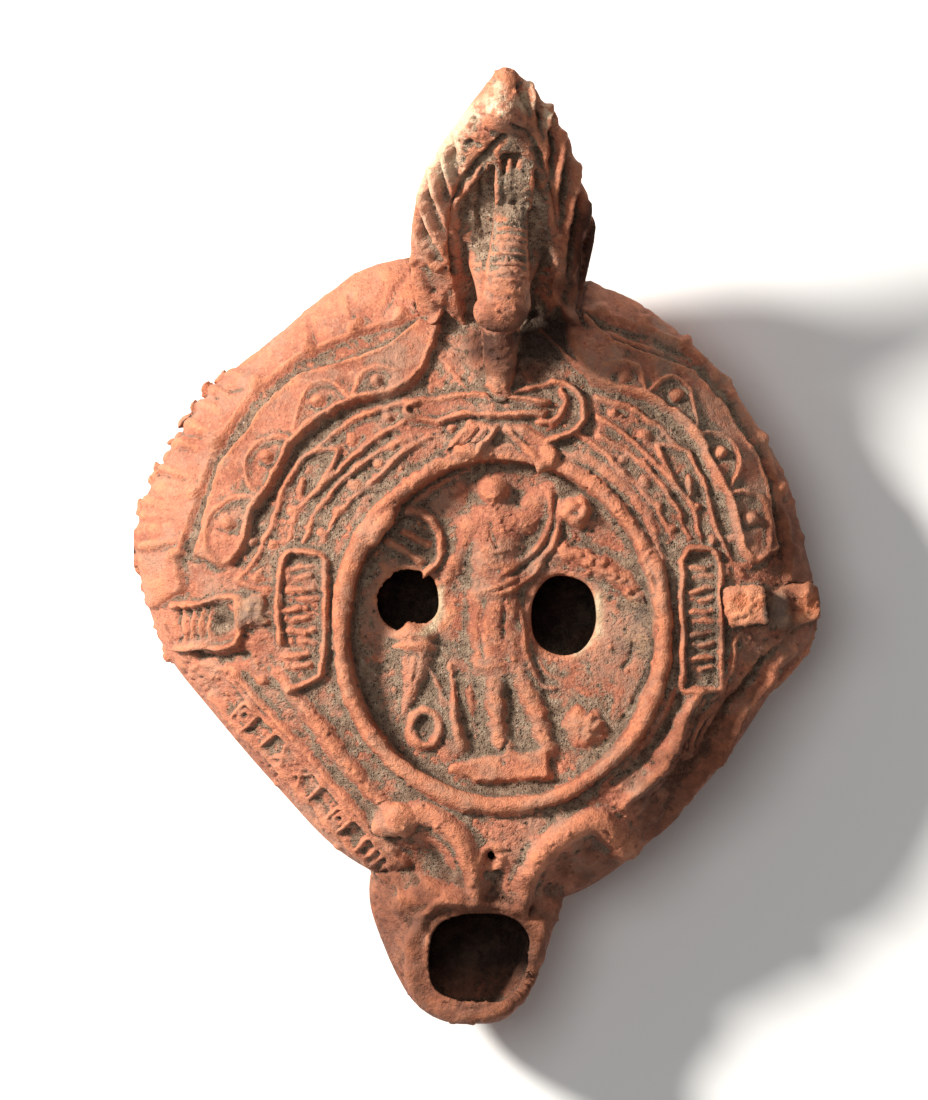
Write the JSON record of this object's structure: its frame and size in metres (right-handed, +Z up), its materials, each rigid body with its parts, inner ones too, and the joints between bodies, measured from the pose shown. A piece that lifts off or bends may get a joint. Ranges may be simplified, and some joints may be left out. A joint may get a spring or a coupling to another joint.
{
  "type": "roman oil lamp",
  "caption": "Hollow mould-made terracotta oil lamp with a relief disc, volute nozzle, side lugs and a leaf-shaped handle ornament.",
  "frame": {"origin": "centre of the flat foot, on the surface that the lamp stands on", "axes": "+Y from the nozzle towards the handle, +Z up, +X to the right as seen from above with the handle away from the viewer"},
  "size_m": [0.1428, 0.2001, 0.0835],
  "materials": {
    "terracotta": "matt worn fired clay with grey dirt in the hollows"
  },
  "bodies": {
    "root": {"lamp": "terracotta"}
  },
  "joints": []
}
